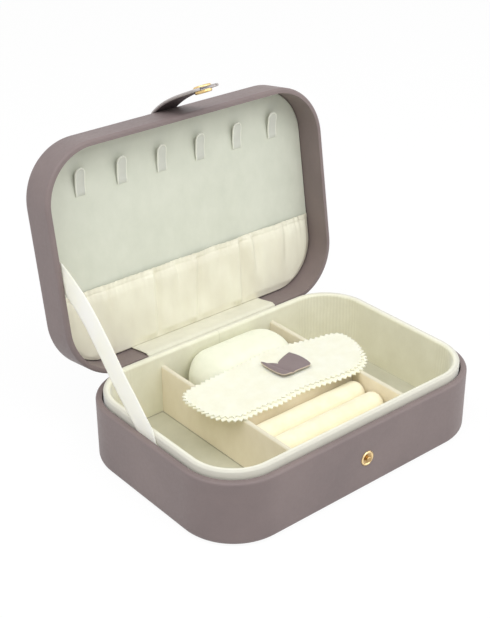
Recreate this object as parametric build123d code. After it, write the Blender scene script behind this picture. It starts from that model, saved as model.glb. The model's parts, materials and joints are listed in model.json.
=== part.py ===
from build123d import *
import math
import os

# Hinged travel jewelry case, lid standing open. Millimetres, +Z up.
# Origin: centre of the plan, on the underside. +X is the length, -Y is the front.
# Lid pieces are drawn shut and then turned about the hinge pin to the open stop.

# ---- outline shared by base and lid
case_length = 200.0
case_depth = 137.0
corner_radius = 34.0
base_height = 39.8
lid_height = 24.3
lid_gap = 0.4               # shut line between the two rims
lid_open_angle = 98.7
glue_line = 0.05            # between pieces bonded face to face
fit_gap = 0.3               # between pieces that only lie beside each other
over = 1.0                  # cutters run this far past what they cut

# ---- covering material and boards
wrap_thickness = 0.9
turn_in_thickness = 0.6
base_turn_in_depth = 12.0
underside_turn_in = 14.0
base_wall = 3.6
base_floor_board = 2.5
lid_wall = 3.1
lid_top_board = 2.2
base_bottom_round = 3.9
base_rim_round = 1.5
lid_top_round = 4.6
lid_rim_round = 1.6

# ---- liner collar that stands proud of the base rim
collar_gap = 0.9
collar_thickness = 4.1
collar_rise = 4.5
collar_board_thickness = 2.2
collar_skin = 0.45
collar_skin_depth = 11.0
collar_outer_round = 1.1
collar_inner_round = 1.5

# ---- compartments
floor_pad_thickness = 2.5
divider_thickness = 3.0
divider_drop = 7.2          # tops lie this far under the collar's top
divider_spacing = 84.6      # centre to centre
divider_top_round = 1.2
cross_divider_front = -14.0
roll_gap = 0.3
roll_count = 3
roll_centre_height = 25.6
roll_end_gap = 0.9
roll_end_round = 3.2
roll_bed_height = 21.0

# ---- hinge strip, and the piano hinge that it hides
strip_width = 98.0
strip_overhang = 1.0        # strip past each end of the hinge
strip_thickness = 0.4
strip_tuck_depth = 11.0
knuckle_count = 11
knuckle_gap = 0.35
barrel_radius = 1.6
pin_radius = 0.7
pin_play = 0.08
pin_head_radius = 1.15
pin_head_length = 0.7
leaf_thickness = 0.8
leaf_height = 11.5
leaf_seat_gap = 0.1
hinge_inset = 1.8           # pin axis in from the back face
hinge_rise = 2.5            # pin axis above the base rim
barrel_clearance = 0.6
barrel_room = 4.0           # cut into the lid ahead of the pin axis
knuckle_step = 0.5          # leaf's plain edge stays this clear of the barrel
screw_count = 4
screw_row_share = 0.6       # down the leaf
screw_end_margin = 9.0
screw_head_radius = 1.5
screw_head_length = 0.6
screw_shank_radius = 0.6
screw_reach = 1.9

# ---- ribbon stay
ribbon_width = 16.0
ribbon_thickness = 0.3
ribbon_foot_y = 1.5
ribbon_tuck_depth = 9.0
ribbon_knee_rise = 3.2      # where the tucked end starts, above the rim
ribbon_lid_y = 0.5          # on the shut lid
ribbon_lid_rise = 9.0       # anchor above the lid's rim

# ---- lid lining
lid_recess = 17.5           # rim to panel
panel_board_thickness = 2.5
panel_edge_gap = 0.25
panel_edge_round = 0.8
panel_pad_margin = 6.0
hook_count = 6
hook_end_margin = 29.5      # case's end to the nearest hook's middle
hook_row_x = 3.0
hook_row_y = -34.6          # sewn end on the shut lid
hook_width = 8.0
hook_length = 16.4
hook_foot = 4.5
hook_thickness = 1.3
hook_stand = 3.6
pocket_mouth_y = 20.4
pocket_edge_margin = 0.8
pocket_sheet = 0.8
pocket_slack = 2.4
pocket_seam = 1.6
pocket_edge_round = 1.4
hem_width = 3.2
hem_thickness = 0.5

# ---- closure strap and snap
strap_width = 17.6
strap_thickness = 1.6
strap_length = 45.8
strap_root_length = 14.0
strap_corner_round = 3.0
strap_joint_gap = 0.3
strap_rest_swing = 27.0     # root held off the shut position
strap_rest_bend = 14.0
strap_wall_gap = 0.4
anchor_length = 22.0
anchor_wrap_angle = 60.0
anchor_lip = 1.2
snap_height_share = 0.5126  # of the base's height
stud_flange_radius = 4.5
stud_flange_thickness = 0.6
stud_nub_radius = 1.8
stud_nub_height = 1.6
stud_post_radius = 1.2
stud_neck_share = 0.78      # of the nub's radius
stud_tip_share = 0.4        # of the nub's radius
stud_bead_share = 0.8       # of the flange's radius
stud_rivet_share = 1.5      # of the post's radius
stud_washer_radius = 3.8
stud_washer_thickness = 0.5
stud_rivet_length = 0.3
socket_radius = 5.0
socket_bore_radius = 2.3
socket_thickness = 1.6
socket_standoff = 0.6
socket_round_share = 0.4    # of its thickness
cap_radius = 5.2
cap_thickness = 1.1
cap_round_share = 0.8       # of its thickness
cap_post_radius = 1.3

# ---- loose contents
cushion_length = 67.0
cushion_depth = 69.0
cushion_round = 10.0
pouch_length = 117.0
pouch_depth = 50.0
pouch_corner = 18.0
pouch_layer = 1.3
pouch_flap_setback = 2.5
pouch_x = 3.0
pouch_y = 5.5
tab_width = 23.4            # across the bowed sides
tab_length = 21.0
tab_front_share = 0.86      # front edge, of that width
tab_point_share = 0.88      # back points, of that width
tab_corner_round = 1.5
tab_notch = 7.8
tab_notch_x = -3.9
tab_thickness = 1.2
tab_x = 10.6
tab_y = 10.6

# ---- derived places
lid_rim_z = base_height + lid_gap
lid_top_z = lid_rim_z + lid_height
back_y = case_depth / 2
front_y = -case_depth / 2
floor_top_z = wrap_thickness + base_floor_board
pad_top_z = floor_top_z + glue_line + floor_pad_thickness
base_board_inset = base_wall - turn_in_thickness
lid_board_inset = lid_wall - turn_in_thickness
collar_inset = base_wall + collar_gap
bay_inset = collar_inset + collar_thickness
collar_top_z = base_height + collar_rise
divider_top_z = collar_top_z - divider_drop
divider_x = divider_spacing / 2
panel_z = lid_rim_z + lid_recess
hinge_length = strip_width - 2 * strip_overhang
screw_pitch = (hinge_length - 2 * screw_end_margin) / (screw_count - 1)
hook_pitch = (case_length - 2 * hook_end_margin) / (hook_count - 1)
snap_height = base_height * snap_height_share
hinge_y = back_y - hinge_inset
hinge_z = base_height + hinge_rise
leaf_face_y = hinge_y - barrel_radius
bay_half_depth = back_y - bay_inset
centre_half_width = divider_x - divider_thickness / 2
cross_divider_back = cross_divider_front + divider_thickness
ring_bay_depth = bay_half_depth + cross_divider_front
roll_diameter = (ring_bay_depth - (roll_count + 1) * roll_gap) / roll_count
hinge_axis = Axis((0, hinge_y, hinge_z), (1, 0, 0))


def slab(inset, z0, z1, low_round=0.0, high_round=0.0):
    """Prism on the case outline, moved in by inset, with rounded rims."""
    plan = RectangleRounded(
        case_length - 2 * inset, case_depth - 2 * inset, corner_radius - inset
    )
    body = Pos(0, 0, z0) * extrude(plan, z1 - z0)
    if low_round > 0:
        body = fillet(body.faces().sort_by(Axis.Z)[0].edges(), low_round)
    if high_round > 0:
        body = fillet(body.faces().sort_by(Axis.Z)[-1].edges(), high_round)
    return body


def block(x0, x1, y0, y1, z0, z1):
    """Box from its six limits."""
    size = Box(x1 - x0, y1 - y0, z1 - z0)
    return Pos((x0 + x1) / 2, (y0 + y1) / 2, (z0 + z1) / 2) * size


def opened(shape):
    """A shut-lid piece at the open stop."""
    return shape.rotate(hinge_axis, -lid_open_angle)


def across(profile, width, x=0.0):
    """Face drawn as (y, z) points, extruded symmetrically along X."""
    return Pos(x, 0, 0) * extrude(profile, width / 2, dir=(1, 0, 0), both=True)


def yz_face(points):
    return make_face(Polyline(*[(0, y, z) for y, z in points], close=True))


def pin_cylinder(radius, length, x=0.0):
    """Cylinder on the hinge axis."""
    return Pos(x, hinge_y, hinge_z) * Rot(0, 90, 0) * Cylinder(radius, length)


# ---------------------------------------------------------------- base shell
def mortise():
    """Slot through the back rim in which the base leaf is let in."""
    half = hinge_length / 2 + fit_gap
    top = base_height + over
    low = hinge_z - leaf_height - leaf_seat_gap
    return block(-half, half, back_y - base_wall - over,
                 leaf_face_y + leaf_thickness + leaf_seat_gap, low, top)


def front_rod(radius, y0, y1):
    """Rod on the snap axis, from y0 back to y1."""
    rod = Rot(90, 0, 0) * Cylinder(radius, y1 - y0)
    return Pos(0, (y0 + y1) / 2, snap_height) * rod


def post_hole():
    """Hole for the stud's post through the front wall and its washer."""
    end = front_y + base_wall + stud_washer_thickness + over
    return front_rod(stud_post_radius + glue_line, front_y - over, end)


def make_base_board():
    core = slab(wrap_thickness, wrap_thickness, base_height - wrap_thickness,
                base_bottom_round - wrap_thickness, base_rim_round - wrap_thickness)
    tray = core - slab(base_board_inset, floor_top_z, base_height)
    return drilled(tray - post_hole() - mortise(), -1)


def make_base_wrap():
    outer = slab(0, 0, base_height, base_bottom_round, base_rim_round)
    gap = glue_line
    core = slab(wrap_thickness - gap, wrap_thickness - gap, base_height - wrap_thickness + gap,
                base_bottom_round - wrap_thickness, base_rim_round - wrap_thickness)
    wall = core - slab(base_board_inset + gap, wrap_thickness, base_height)
    skin = outer - slab(base_wall, wrap_thickness - gap, base_height + over) - wall
    skin -= slab(base_board_inset - gap, wrap_thickness - gap, base_height - base_turn_in_depth)
    skin -= slab(underside_turn_in, -over, wrap_thickness + over)
    return skin - mortise() - post_hole()


def make_bottom_panel():
    return slab(underside_turn_in + fit_gap, 0, wrap_thickness - glue_line)


# ---------------------------------------------------------------- collar
def make_collar_board():
    low = floor_top_z + glue_line
    outer = collar_inset + collar_skin + glue_line
    top = collar_top_z - 2 * collar_skin - glue_line
    ring = slab(outer, low, top)
    return ring - slab(outer + collar_board_thickness, low - over, top + over)


def make_collar_lining():
    low = floor_top_z + glue_line
    ring = slab(collar_inset, low, collar_top_z, 0, collar_outer_round)
    ring -= slab(bay_inset, low - over, collar_top_z + over)
    inner_edges = ring.faces().sort_by(Axis.Z)[-1].inner_wires()[0].edges()
    ring = fillet(inner_edges, collar_inner_round)
    board_top = collar_top_z - 2 * collar_skin
    slot = slab(collar_inset + collar_skin, low - over, board_top)
    board_inner = collar_inset + collar_skin + 2 * glue_line + collar_board_thickness
    ring -= slot - slab(board_inner, low - 2 * over, board_top + over)
    skirt = slab(collar_inset - over, low - over, collar_top_z - collar_skin_depth)
    return ring - (skirt - slab(collar_inset + collar_skin, low - 2 * over, collar_top_z))


# ---------------------------------------------------------------- compartments
def bay_slice(x0, x1, y0, y1, z0, z1):
    """Part of the space inside the collar, clear of its lining."""
    return slab(bay_inset + glue_line, z0, z1) & block(x0, x1, y0, y1, z0 - over, z1 + over)


def floor_pad(x0, x1, y0, y1):
    return bay_slice(x0, x1, y0, y1, floor_top_z + glue_line, pad_top_z)


def divider(x0, x1, y0, y1):
    body = block(x0, x1, y0, y1, floor_top_z + glue_line, divider_top_z)
    top = body.faces().sort_by(Axis.Z)[-1].edges()
    long_way = Axis.Y if (y1 - y0) > (x1 - x0) else Axis.X
    return fillet(top.filter_by(long_way), divider_top_round)


def side_divider(side):
    reach = bay_half_depth - glue_line
    x = side * divider_x
    return divider(x - divider_thickness / 2, x + divider_thickness / 2, -reach, reach)


def make_cross_divider():
    half = centre_half_width - glue_line
    return divider(-half, half, cross_divider_front, cross_divider_back)


def roll_y(index):
    """Rolls counted from the cross divider towards the front."""
    first = cross_divider_front - roll_gap - roll_diameter / 2
    return first - index * (roll_diameter + roll_gap)


def make_roll(index):
    length = 2 * (centre_half_width - roll_end_gap)
    rod = Cylinder(roll_diameter / 2, length)
    rod = fillet(rod.edges().filter_by(GeomType.CIRCLE), roll_end_round)
    return Pos(0, roll_y(index), roll_centre_height) * Rot(0, 90, 0) * rod


def make_roll_bed():
    half = centre_half_width - glue_line
    bed = block(-half, half, -bay_half_depth + glue_line, cross_divider_front - glue_line,
                floor_top_z + glue_line, roll_bed_height)
    for index in range(roll_count):
        groove = Rot(0, 90, 0) * Cylinder(roll_diameter / 2 + glue_line, 3 * half)
        bed -= Pos(0, roll_y(index), roll_centre_height) * groove
    return bed


# ---------------------------------------------------------------- hinge
def knuckle_span(index):
    pitch = hinge_length / knuckle_count
    start = -hinge_length / 2 + index * pitch
    return start + knuckle_gap / 2, start + pitch - knuckle_gap / 2


def leaf(direction, first):
    """Hinge leaf with every second knuckle. direction -1 hangs down, +1 stands up."""
    clear = barrel_radius + knuckle_step
    far = direction * leaf_height
    near = direction * clear
    z0, z1 = sorted((hinge_z + near, hinge_z + far))
    y0 = leaf_face_y
    y1 = leaf_face_y + leaf_thickness
    body = block(-hinge_length / 2, hinge_length / 2, y0, y1, z0, z1)
    for index in range(first, knuckle_count, 2):
        x0, x1 = knuckle_span(index)
        w0, w1 = sorted((hinge_z, hinge_z + near))
        body += block(x0, x1, y0, y1, w0, w1)
        body += pin_cylinder(barrel_radius, x1 - x0, (x0 + x1) / 2)
    body -= pin_cylinder(pin_radius + pin_play, hinge_length + 2 * over)
    for x, z in screw_places(direction):
        body -= screw_solid(x, z, glue_line)
    return body


def screw_places(direction):
    z = hinge_z + direction * (leaf_height + barrel_radius) * screw_row_share
    first = screw_end_margin - hinge_length / 2
    return [(first + i * screw_pitch, z) for i in range(screw_count)]


def screw_solid(x, z, grow=0.0):
    """Countersunk screw driven from the inside face of a leaf."""
    head = screw_head_radius + grow
    shank = screw_shank_radius + grow
    depth = screw_head_length + grow
    profile = make_face(Polyline(
        (0, 0), (head, 0), (shank, -depth), (shank, -screw_reach - grow), (0, -screw_reach - grow),
        close=True,
    ))
    body = revolve(Plane.XZ * profile, Axis.Z)
    return Pos(x, leaf_face_y, z) * Rot(90, 0, 0) * body


def make_screws(direction):
    return Compound([screw_solid(x, z) for x, z in screw_places(direction)])


def drilled(board, direction):
    """Board with the pilot holes for one leaf's screws."""
    for x, z in screw_places(direction):
        board -= screw_solid(x, z, glue_line)
    return board


def make_pin():
    body = pin_cylinder(pin_radius, hinge_length + 2 * glue_line)
    for side in (-1, 1):
        x = side * (hinge_length / 2 + glue_line + pin_head_length / 2)
        body += pin_cylinder(pin_head_radius, pin_head_length, x)
    return body


# ---------------------------------------------------------------- lid shell
def lid_cuts():
    """Room for the barrel through the back wall, and a seat for the lid leaf."""
    half = hinge_length / 2 + pin_head_length + fit_gap
    room = barrel_radius + barrel_clearance
    notch = block(-half, half, hinge_y - barrel_room, back_y + over, lid_rim_z - over,
                  hinge_z + room)
    seat_half = hinge_length / 2 + fit_gap
    seat_top = hinge_z + leaf_height + leaf_seat_gap
    seat = block(-seat_half, seat_half, hinge_y - barrel_room,
                 leaf_face_y + leaf_thickness + leaf_seat_gap, lid_rim_z, seat_top)
    return notch + seat


def make_lid_board():
    core = slab(wrap_thickness, lid_rim_z + wrap_thickness, lid_top_z - wrap_thickness,
                lid_rim_round - wrap_thickness, lid_top_round - wrap_thickness)
    inside = slab(lid_board_inset, lid_rim_z, lid_top_z - wrap_thickness - lid_top_board)
    return drilled(core - inside - lid_cuts(), 1)


def make_lid_wrap():
    gap = glue_line
    outer = slab(0, lid_rim_z, lid_top_z, lid_rim_round, lid_top_round)
    core = slab(wrap_thickness - gap, lid_rim_z + wrap_thickness - gap,
                lid_top_z - wrap_thickness + gap,
                lid_rim_round - wrap_thickness, lid_top_round - wrap_thickness)
    turn_in_top = panel_z + panel_board_thickness
    lining = slab(lid_board_inset + gap, lid_rim_z - over, turn_in_top)
    skin = outer - (core - lining)
    skin -= slab(lid_wall, lid_rim_z - over, turn_in_top + over)
    return skin - lid_cuts()


def make_lid_panel():
    inset = lid_wall + panel_edge_gap
    return slab(inset, panel_z, panel_z + panel_board_thickness, panel_edge_round)


def make_panel_pad():
    top = lid_top_z - wrap_thickness - lid_top_board - glue_line
    low = panel_z + panel_board_thickness + glue_line
    return slab(lid_wall + panel_pad_margin, low, top)


def make_hook(index):
    """Sewn tab: flat foot on the panel, free rounded end standing off."""
    x = hook_row_x + (index - (hook_count - 1) / 2) * hook_pitch
    top = panel_z - glue_line
    y_end = hook_row_y - hook_length
    y_foot = hook_row_y - hook_foot
    t = hook_thickness
    outline = yz_face([
        (hook_row_y, top), (y_foot, top), (y_end, top - hook_stand),
        (y_end, top - hook_stand - t), (y_foot, top - t), (hook_row_y, top - t),
    ])
    body = across(outline, hook_width, x)
    blank = Rectangle(hook_width, hook_length)
    blank = fillet(blank.vertices().group_by(Axis.Y)[0], hook_width / 2 - glue_line)
    depth = hook_stand + hook_thickness + 2 * over
    cutter = Pos(x, hook_row_y - hook_length / 2, panel_z + over - depth) * extrude(blank, depth)
    return body & cutter


def make_pocket():
    """Slack sheet over the panel's rear part, sewn down all round except at its mouth."""
    inset = lid_wall + panel_edge_gap + pocket_edge_margin
    top = panel_z - glue_line
    low = top - pocket_slack - pocket_sheet
    front = block(-case_length, case_length, pocket_mouth_y, back_y, low - over, top + over)
    outer = slab(inset, low, top, pocket_edge_round)
    room = slab(inset + pocket_seam, low + pocket_sheet, top + over)
    return (outer - room) & front


def make_hem():
    """Narrow gathered hem across the mouth, lying on the sheet."""
    half = case_length / 2 - lid_wall - panel_edge_gap - pocket_edge_margin
    reach = half - 2 * hem_width
    high = panel_z - 2 * glue_line - pocket_slack - pocket_sheet
    return block(-reach, reach, pocket_mouth_y, pocket_mouth_y + hem_width,
                 high - hem_thickness, high)


# ---------------------------------------------------------------- hinge strip, ribbon
def make_strip_lid():
    y1 = leaf_face_y - glue_line
    low = hinge_z + barrel_radius + barrel_clearance
    return block(-strip_width / 2, strip_width / 2, y1 - strip_thickness, y1,
                 low, panel_z - fit_gap)


def turned(y, z, angle):
    """Point (y, z) turned about the hinge axis."""
    a = math.radians(angle)
    dy = y - hinge_y
    dz = z - hinge_z
    return (hinge_y + dy * math.cos(a) - dz * math.sin(a),
            hinge_z + dy * math.sin(a) + dz * math.cos(a))


def make_strip_fold():
    """Free fold of the strip, over the barrel and down behind the collar."""
    y0 = back_y - collar_inset + 2 * glue_line
    y1 = y0 + strip_thickness
    over = hinge_z + barrel_radius + 2 * glue_line
    low = collar_top_z - strip_tuck_depth
    reach = turned(leaf_face_y, hinge_z + barrel_radius + barrel_clearance, -lid_open_angle)[0]
    t = strip_thickness
    outline = yz_face([
        (y0, low), (y1, low), (y1, over), (reach, over), (reach, over + t), (y0, over + t),
    ])
    return across(outline, strip_width)


def make_ribbon():
    """Flat ribbon stay, pulled tight from the collar gap to the lid's side wall."""
    half = ribbon_width / 2
    foot_z = base_height
    lid_y, lid_z = turned(ribbon_lid_y, lid_rim_z + ribbon_lid_rise, -lid_open_angle)
    run = math.hypot(lid_y - ribbon_foot_y, lid_z - foot_z)
    slope = math.degrees(math.atan2(lid_z - foot_z, lid_y - ribbon_foot_y))
    x = -(case_length / 2 - base_wall - ribbon_thickness / 2 - 2 * glue_line)

    def band(y, z, length, angle):
        strip = Box(ribbon_thickness, length, ribbon_width)
        strip = Pos(0, length / 2, 0) * strip
        return Pos(x, y, z) * Rot(angle, 0, 0) * strip

    tuck = band(ribbon_foot_y, foot_z + ribbon_knee_rise,
                ribbon_tuck_depth + ribbon_knee_rise, -90)
    pull = band(ribbon_foot_y, foot_z, run, slope)
    knee = Pos(x, ribbon_foot_y, foot_z) * Rot(0, 90, 0) * Cylinder(half, ribbon_thickness)
    return tuck + pull + knee


# ---------------------------------------------------------------- strap and snap
anchor_mid_radius = lid_top_round + 2 * glue_line + strap_thickness / 2
edge_centre_y = front_y + lid_top_round
edge_centre_z = lid_top_z - lid_top_round


def anchor_path_point(angle, beyond=0.0, offset=0.0):
    """Point on the strap's middle line where it rolls over the lid's front edge."""
    a = math.radians(angle)
    r = anchor_mid_radius + offset
    y = edge_centre_y - r * math.sin(a) - beyond * math.cos(a)
    z = edge_centre_z + r * math.cos(a) - beyond * math.sin(a)
    return y, z


strap_axis_y, strap_axis_z = anchor_path_point(
    anchor_wrap_angle, anchor_lip + strap_joint_gap + strap_thickness / 2
)
strap_axis = Axis((0, strap_axis_y, strap_axis_z), (1, 0, 0))
bend_axis = Axis((0, strap_axis_y, strap_axis_z - strap_root_length), (1, 0, 0))
snap_face_y = front_y - stud_flange_thickness - socket_standoff - socket_thickness
snap_drop = strap_axis_z - snap_height
lean_offset = strap_axis_y + strap_thickness / 2 - snap_face_y
strap_flush_lean = math.degrees(math.asin(lean_offset / snap_drop))
snap_along = snap_drop / math.cos(math.radians(strap_flush_lean))


def make_anchor():
    """Sewn end of the strap on the lid's top, rolled over the front edge."""
    h = strap_thickness / 2
    top_out = anchor_path_point(0, 0, h)
    top_in = anchor_path_point(0, 0, -h)
    mid_out = anchor_path_point(anchor_wrap_angle / 2, 0, h)
    mid_in = anchor_path_point(anchor_wrap_angle / 2, 0, -h)
    end_out = anchor_path_point(anchor_wrap_angle, 0, h)
    end_in = anchor_path_point(anchor_wrap_angle, 0, -h)
    lip_out = anchor_path_point(anchor_wrap_angle, anchor_lip, h)
    lip_in = anchor_path_point(anchor_wrap_angle, anchor_lip, -h)
    tail_y = edge_centre_y + anchor_length

    def p(point):
        return (0, point[0], point[1])

    outline = make_face([
        Line((0, tail_y, top_in[1]), (0, tail_y, top_out[1])),
        Line((0, tail_y, top_out[1]), p(top_out)),
        ThreePointArc(p(top_out), p(mid_out), p(end_out)),
        Line(p(end_out), p(lip_out)),
        Line(p(lip_out), p(lip_in)),
        Line(p(lip_in), p(end_in)),
        ThreePointArc(p(end_in), p(mid_in), p(top_in)),
        Line(p(top_in), (0, tail_y, top_in[1])),
    ])
    body = across(outline, strap_width)
    tail = body.edges().filter_by(Axis.Z).group_by(Axis.Y)[-1]
    return fillet(tail, strap_corner_round)


def strap_plate(start, end, rounded_tip):
    """Straight piece of strap hanging from start to end below the strap axis."""
    z_hi = strap_axis_z - start
    z_lo = strap_axis_z - end
    h = strap_thickness / 2
    y = strap_axis_y
    plate = block(-strap_width / 2, strap_width / 2, y - h, y + h, z_lo, z_hi)
    if rounded_tip:
        plate = fillet(plate.edges().filter_by(Axis.Y).group_by(Axis.Z)[0], strap_corner_round)
    nose = Pos(0, y, z_hi) * Rot(0, 90, 0) * Cylinder(h, strap_width)
    return plate + nose


def strap_posed(shape, with_bend):
    """Shut strap piece at its rest position on the shut lid."""
    if with_bend:
        shape = shape.rotate(bend_axis, strap_rest_bend)
    return shape.rotate(strap_axis, -(strap_flush_lean + strap_rest_swing))


def snap_disc(radius, y0, y1):
    """Disc on the snap's place along the hanging strap."""
    rod = Rot(90, 0, 0) * Cylinder(radius, abs(y1 - y0))
    return Pos(0, (y0 + y1) / 2, strap_axis_z - snap_along) * rod


def make_strap_root():
    end = strap_root_length - strap_thickness / 2 - strap_joint_gap
    return strap_posed(strap_plate(0, end, False), False)


def make_strap_end():
    plate = strap_plate(strap_root_length, strap_length, True)
    h = strap_thickness / 2
    bore = snap_disc(cap_post_radius + glue_line, strap_axis_y - h - over, strap_axis_y + h + over)
    return strap_posed(plate - bore, True)


def make_cap():
    h = strap_thickness / 2
    face = strap_axis_y - h - glue_line
    dome = snap_disc(cap_radius, face - cap_thickness, face)
    dome = fillet(dome.faces().sort_by(Axis.Y)[0].edges(), cap_thickness * cap_round_share)
    post = snap_disc(cap_post_radius, face, strap_axis_y + h)
    return strap_posed(dome + post, True)


def make_socket():
    face = strap_axis_y + strap_thickness / 2 + glue_line
    ring = snap_disc(socket_radius, face, face + socket_thickness)
    ring = fillet(ring.faces().sort_by(Axis.Y)[-1].edges(), socket_thickness * socket_round_share)
    ring -= snap_disc(socket_bore_radius, face - over, face + socket_thickness + over)
    return strap_posed(ring, True)


def make_stud():
    """Turned stud: flange with a raised bead, round nub and rivet post."""
    flange = stud_flange_thickness
    wall = base_board_inset + stud_washer_thickness + glue_line
    nub = stud_nub_radius
    tip = flange + stud_nub_height
    neck = nub * stud_neck_share
    end = nub * stud_tip_share
    shoulder = tip - stud_nub_height * 0.45
    bead = stud_flange_radius * stud_bead_share
    rivet = stud_post_radius * stud_rivet_share
    profile = make_face([
        Polyline(
            (0, tip), (0, -wall - stud_rivet_length), (rivet, -wall - stud_rivet_length),
            (rivet, -wall), (stud_post_radius, -wall), (stud_post_radius, 0),
            (stud_flange_radius, 0), (stud_flange_radius, flange * 0.6), (bead, flange),
            (bead * 0.6, flange * 0.7), (neck, flange), (nub, shoulder),
        ),
        ThreePointArc((nub, shoulder), (nub * 0.84, tip - nub * 0.12), (end, tip)),
        Line((end, tip), (0, tip)),
    ])
    body = revolve(Plane.XZ * profile, Axis.Z)
    return Pos(0, front_y, snap_height) * Rot(90, 0, 0) * body


def make_stud_washer():
    face = front_y + base_board_inset + glue_line
    ring = front_rod(stud_washer_radius, face, face + stud_washer_thickness - glue_line)
    return ring - post_hole()


# ---------------------------------------------------------------- loose contents
def make_cushion():
    y_mid = (cross_divider_back + bay_half_depth) / 2
    low = pad_top_z + fit_gap
    high = divider_top_z
    body = Pos(0, y_mid, (low + high) / 2) * Box(cushion_length, cushion_depth, high - low)
    return fillet(body.edges(), cushion_round)


def pouch_layer_solid(z0, setback):
    plan = RectangleRounded(pouch_length - 2 * setback, pouch_depth - 2 * setback,
                            pouch_corner - setback)
    return Pos(pouch_x, pouch_y, z0) * extrude(plan, pouch_layer)


pouch_z = divider_top_z + fit_gap
flap_z = pouch_z + pouch_layer + glue_line
tab_z = flap_z + pouch_layer + glue_line


def make_tab():
    """Leather closing tab: bowed sides, straight front, notched back."""
    side = tab_width / 2
    foot = side * tab_front_share
    point = side * tab_point_share
    front = -tab_length / 2
    back = tab_length / 2
    notch = (tab_notch_x, back - tab_notch)
    outline = make_face([
        Line((-foot, front), (foot, front)),
        ThreePointArc((foot, front), (side, 0), (point, back)),
        Line((point, back), notch),
        Line(notch, (-point, back)),
        ThreePointArc((-point, back), (-side, 0), (-foot, front)),
    ])
    sheet = extrude(outline, tab_thickness)
    corners = sheet.edges().filter_by(Axis.Z).sort_by(Axis.Y)[:2]
    return Pos(tab_x, tab_y, tab_z) * fillet(corners, tab_corner_round)


# ---------------------------------------------------------------- all pieces
half_bay = case_length / 2
left_edge = divider_x + divider_thickness / 2 + glue_line
parts = {
    "base_board": make_base_board(),
    "base_wrap": make_base_wrap(),
    "base_bottom_panel": make_bottom_panel(),
    "collar_board": make_collar_board(),
    "collar_lining": make_collar_lining(),
    "floor_pad_left": floor_pad(-half_bay, -left_edge, -half_bay, half_bay),
    "floor_pad_right": floor_pad(left_edge, half_bay, -half_bay, half_bay),
    "floor_pad_rear": floor_pad(-centre_half_width + glue_line, centre_half_width - glue_line,
                                cross_divider_back + glue_line, half_bay),
    "left_divider": side_divider(-1),
    "right_divider": side_divider(1),
    "cross_divider": make_cross_divider(),
    "ring_roll_bed": make_roll_bed(),
    "snap_stud": make_stud(),
    "snap_stud_washer": make_stud_washer(),
    "hinge_base_leaf": leaf(-1, 0),
    "hinge_base_screws": make_screws(-1),
    "hinge_pin": make_pin(),
    "hinge_strip_fold": make_strip_fold(),
    "ribbon_stay": make_ribbon(),
    "cushion": make_cushion(),
    "pouch_back": pouch_layer_solid(pouch_z, 0),
    "pouch_flap": pouch_layer_solid(flap_z, pouch_flap_setback),
    "pouch_tab": make_tab(),
    "lid_board": opened(make_lid_board()),
    "lid_wrap": opened(make_lid_wrap()),
    "lid_panel": opened(make_lid_panel()),
    "lid_panel_pad": opened(make_panel_pad()),
    "pocket_front": opened(make_pocket()),
    "pocket_hem": opened(make_hem()),
    "hinge_lid_leaf": opened(leaf(1, 1)),
    "hinge_lid_screws": opened(make_screws(1)),
    "hinge_strip_lid": opened(make_strip_lid()),
    "strap_anchor": opened(make_anchor()),
    "strap_root": opened(make_strap_root()),
    "strap_end": opened(make_strap_end()),
    "snap_cap": opened(make_cap()),
    "snap_socket": opened(make_socket()),
}
roll_names = ["rear", "middle", "front"]
for number in range(roll_count):
    label = roll_names[number] if number < len(roll_names) else str(number + 1)
    parts["ring_roll_" + label] = make_roll(number)
for number in range(hook_count):
    parts["necklace_hook_" + str(number + 1)] = opened(make_hook(number))

os.makedirs("parts", exist_ok=True)
for name, solid in parts.items():
    export_step(solid, os.path.join("parts", name + ".step"))
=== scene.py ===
import json
import math

import bpy
import numpy as np
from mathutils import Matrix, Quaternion, Vector, noise
from mathutils.geometry import delaunay_2d_cdt


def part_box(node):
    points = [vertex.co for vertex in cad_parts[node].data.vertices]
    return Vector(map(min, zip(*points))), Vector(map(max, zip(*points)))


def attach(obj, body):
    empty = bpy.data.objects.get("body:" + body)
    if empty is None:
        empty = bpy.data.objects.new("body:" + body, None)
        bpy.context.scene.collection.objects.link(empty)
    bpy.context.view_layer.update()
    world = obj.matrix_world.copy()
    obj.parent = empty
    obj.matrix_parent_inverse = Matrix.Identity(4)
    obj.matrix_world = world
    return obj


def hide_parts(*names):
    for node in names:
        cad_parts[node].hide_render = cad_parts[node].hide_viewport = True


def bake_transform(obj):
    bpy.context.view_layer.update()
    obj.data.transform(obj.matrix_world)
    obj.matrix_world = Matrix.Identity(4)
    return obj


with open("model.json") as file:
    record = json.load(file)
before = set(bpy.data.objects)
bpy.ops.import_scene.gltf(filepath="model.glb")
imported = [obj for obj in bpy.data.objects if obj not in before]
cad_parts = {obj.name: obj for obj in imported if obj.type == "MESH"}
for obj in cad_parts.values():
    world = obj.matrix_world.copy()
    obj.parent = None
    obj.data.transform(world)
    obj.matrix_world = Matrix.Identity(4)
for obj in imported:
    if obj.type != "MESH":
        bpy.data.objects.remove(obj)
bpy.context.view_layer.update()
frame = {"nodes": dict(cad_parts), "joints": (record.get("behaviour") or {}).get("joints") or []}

# Looks for the travel jewelry case. Places are worked out in millimetres and written in metres.
# Lid pieces are drawn on the shut lid and then turned to the open stop, as the solids are.

MM = 0.001
FULL_TURN = 6.283           # radians in a full wave

# ------------ places read from the frame
joints = {joint["name"]: joint for joint in frame["joints"]}
hinge_y, hinge_z = (value / MM for value in joints["lid_hinge"]["pos_m"][1:])
open_angle = math.radians(joints["lid_hinge"]["range_deg"][1])


def limits(node):
    """Lowest and highest corner of a solid, in millimetres."""
    low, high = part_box(node)
    return np.array(low) / MM, np.array(high) / MM


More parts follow.
